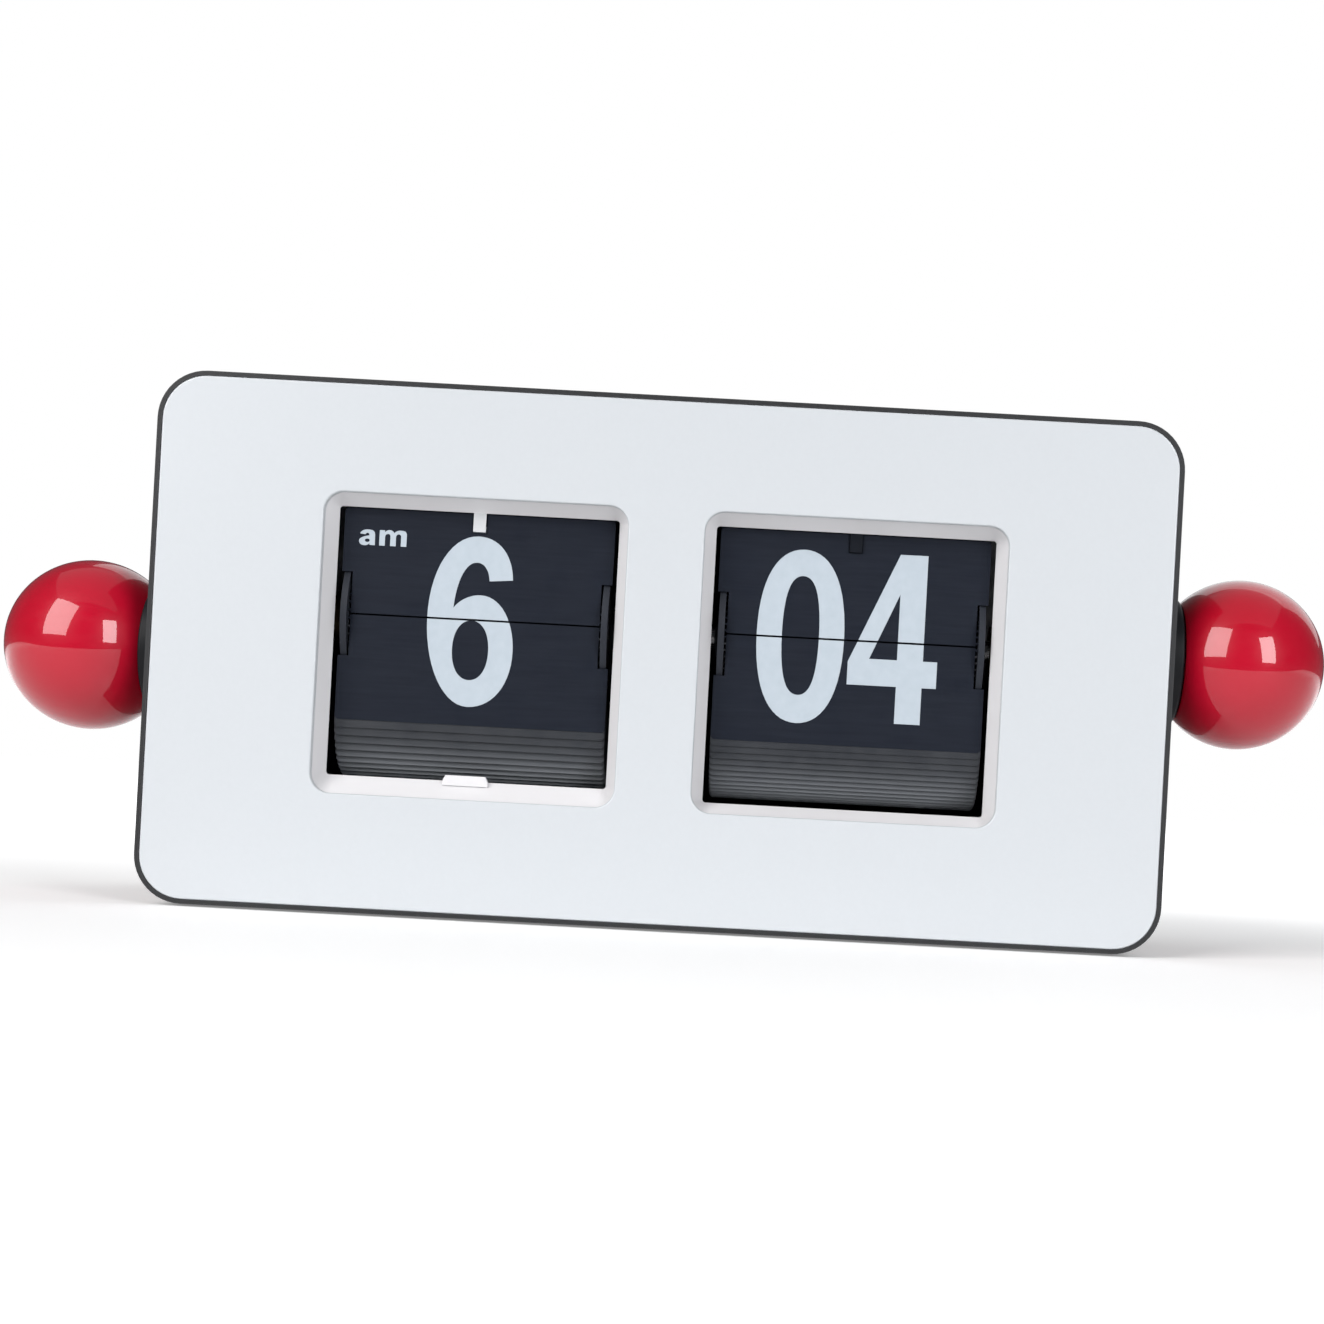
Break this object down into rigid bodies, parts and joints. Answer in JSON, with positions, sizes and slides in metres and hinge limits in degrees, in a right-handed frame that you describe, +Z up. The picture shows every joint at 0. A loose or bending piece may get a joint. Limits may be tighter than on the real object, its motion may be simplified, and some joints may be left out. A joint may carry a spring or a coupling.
{
  "type": "flip number clock",
  "caption": "Small table clock with two windows of hinged number leaves on coaxial drums, geared together, with a red ball knob at each end.",
  "frame": {"origin": "on the table, under the middle of the clock's length and depth", "axes": "+X to the right seen from the front, along the drum axis; +Y to the rear; +Z up"},
  "size_m": [0.2394, 0.068, 0.0938],
  "materials": {
    "fascia_white": "smooth cool-white gloss lacquer",
    "frame_white": "satin warm-white moulding",
    "case_black": "fine satin texture",
    "door_black": "fine satin texture",
    "ball_red": "high-gloss crimson lacquer",
    "collar_black": "satin",
    "leaf_black": "satin printed sheet",
    "catch_white": "satin",
    "catch_black": "satin",
    "drum_black": "moulded",
    "gear_plastic": "moulded acetal",
    "steel": "ground",
    "plate_steel": "black coated sheet",
    "brass": "turned",
    "screw_steel": "black oxide",
    "rubber": "matt",
    "cell_wrap": "plain printed sleeve",
    "contact_metal": "nickel plate",
    "motor_plastic": "moulded",
    "coil_copper": "enamelled winding",
    "board_green": "solder mask",
    "component": "moulded"
  },
  "bodies": {
    "clock": {"case_shell": "case_black", "fascia": "fascia_white", "hour_window_frame": "frame_white", "minute_window_frame": "frame_white", "hour_catch": "catch_white", "minute_catch": "catch_black", "rear_cover": "case_black", "cover_screws": "screw_steel", "battery_holder": "case_black", "batteries": "cell_wrap", "battery_contacts": "contact_metal", "feet": "rubber", "knob_collar": "collar_black", "left_ball": "ball_red", "left_ball_insert": "brass", "left_ball_collar": "collar_black", "left_ball_screw": "steel", "movement_base": "plate_steel", "base_screws": "steel", "left_side_plate": "plate_steel", "right_side_plate": "plate_steel", "middle_plate": "plate_steel", "tie_rods": "steel", "tie_rod_screws": "steel", "bushes": "brass", "plate_studs": "steel", "motor": "motor_plastic", "motor_coil": "coil_copper", "circuit_board": "board_green", "board_components": "component", "hour_next_leaf": "leaf_black", "hour_upper_leaves": "leaf_black", "hour_front_lower_leaf": "leaf_black", "hour_lower_leaves": "leaf_black", "minute_next_leaf": "leaf_black", "minute_upper_leaves": "leaf_black", "minute_front_lower_leaf": "leaf_black", "minute_lower_leaves": "leaf_black"},
    "minute_drum": {"minute_drum_discs": "drum_black", "minute_drum_core": "drum_black", "minute_shaft": "steel", "minute_pinion": "gear_plastic", "clutch_gear": "gear_plastic", "clutch_hub": "brass", "clutch_spring": "steel", "knob_ball": "ball_red", "knob_insert": "brass"},
    "transfer": {"transfer_wheel": "gear_plastic", "transfer_arbor": "steel", "transfer_pinion": "gear_plastic"},
    "hour_drum": {"hour_drum_discs": "drum_black", "hour_drum_core": "drum_black", "hour_shaft": "steel", "hour_wheel": "gear_plastic"},
    "reduction": {"reduction_gear": "gear_plastic"},
    "motor_rotor": {"motor_shaft": "steel", "motor_pinion": "brass"},
    "hour_leaf": {"hour_flip_leaf": "leaf_black"},
    "minute_leaf": {"minute_flip_leaf": "leaf_black"},
    "door": {"battery_door": "door_black"}
  },
  "joints": [
    {"name": "knob_turn", "type": "hinge", "parent": "clock", "child": "minute_drum", "pos_m": [0.0334, -0.01762, 0.0531], "axis": [1, 0, 0], "continuous": true},
    {"name": "transfer_turn", "type": "hinge", "parent": "clock", "child": "transfer", "pos_m": [0, -0.00615, 0.04507], "axis": [1, 0, 0], "continuous": true},
    {"name": "hour_drum_turn", "type": "hinge", "parent": "clock", "child": "hour_drum", "pos_m": [-0.0334, -0.01762, 0.0531], "axis": [1, 0, 0], "continuous": true},
    {"name": "reduction_turn", "type": "hinge", "parent": "clock", "child": "reduction", "pos_m": [0.067, -0.00462, 0.0456], "axis": [1, 0, 0], "continuous": true},
    {"name": "motor_turn", "type": "hinge", "parent": "clock", "child": "motor_rotor", "pos_m": [0.067, 0.00598, 0.03499], "axis": [1, 0, 0], "continuous": true},
    {"name": "hour_leaf_flip", "type": "hinge", "parent": "clock", "child": "hour_leaf", "pos_m": [-0.0334, -0.02859, 0.05382], "axis": [1, 0, 0], "range_deg": [0, 164]},
    {"name": "minute_leaf_flip", "type": "hinge", "parent": "clock", "child": "minute_leaf", "pos_m": [0.0334, -0.0286, 0.05368], "axis": [1, 0, 0], "range_deg": [0, 164]},
    {"name": "battery_door_pull", "type": "slide", "parent": "clock", "child": "door", "axis": [0, 1, 0], "range_m": [0, 0.03]}
  ],
  "couplings": [
    {"joint": "transfer_turn", "follows": "knob_turn", "ratio": -0.25},
    {"joint": "hour_drum_turn", "follows": "knob_turn", "ratio": 0.041667},
    {"joint": "reduction_turn", "follows": "knob_turn", "ratio": -4},
    {"joint": "motor_turn", "follows": "knob_turn", "ratio": 16}
  ]
}
